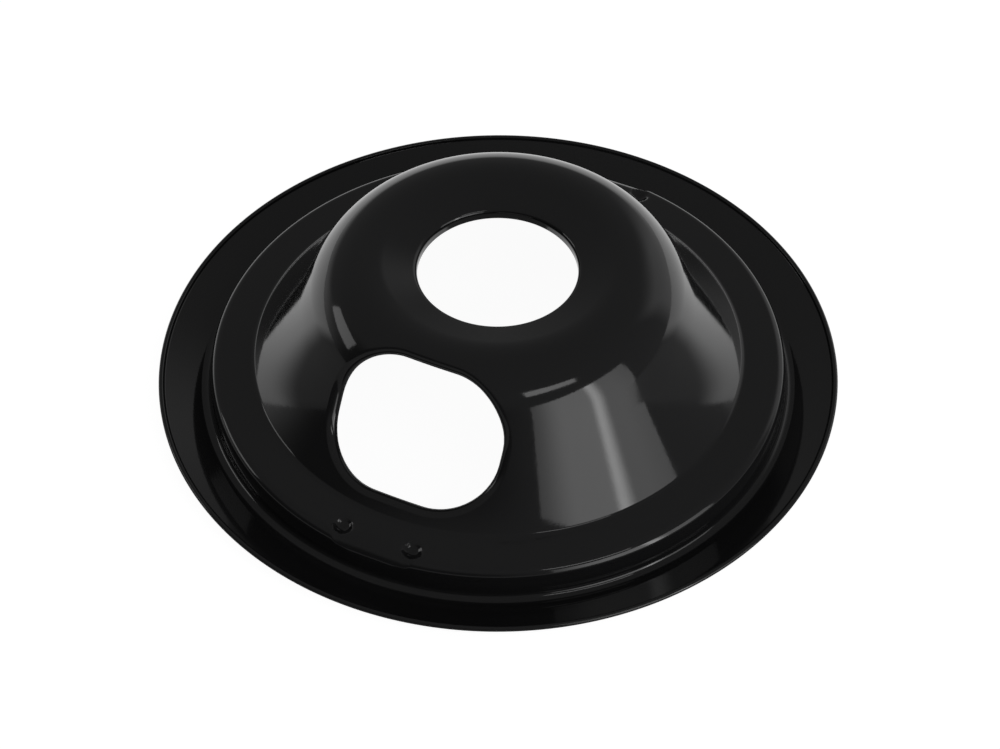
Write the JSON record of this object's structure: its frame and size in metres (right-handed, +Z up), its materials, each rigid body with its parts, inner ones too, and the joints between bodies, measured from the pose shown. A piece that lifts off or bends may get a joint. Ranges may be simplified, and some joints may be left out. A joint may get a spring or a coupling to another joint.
{
  "type": "range drip bowl",
  "caption": "Black enamelled pressed-steel drip bowl for a cooktop coil, with a stepped rim, a rolled centre hole and a flat-sided side opening for the coil's terminals.",
  "frame": {"origin": "centre of the ring on which the bowl lies with its dome up, at the surface below it", "axes": "+Z up along the bowl's axis, out of the top of the dome; the terminal opening faces -Y"},
  "size_m": [0.1968, 0.1968, 0.0495],
  "materials": {
    "enamel": "glossy black porcelain enamel over pressed sheet steel, with slight orange peel"
  },
  "bodies": {
    "root": {"drip_bowl": "enamel"}
  },
  "joints": []
}
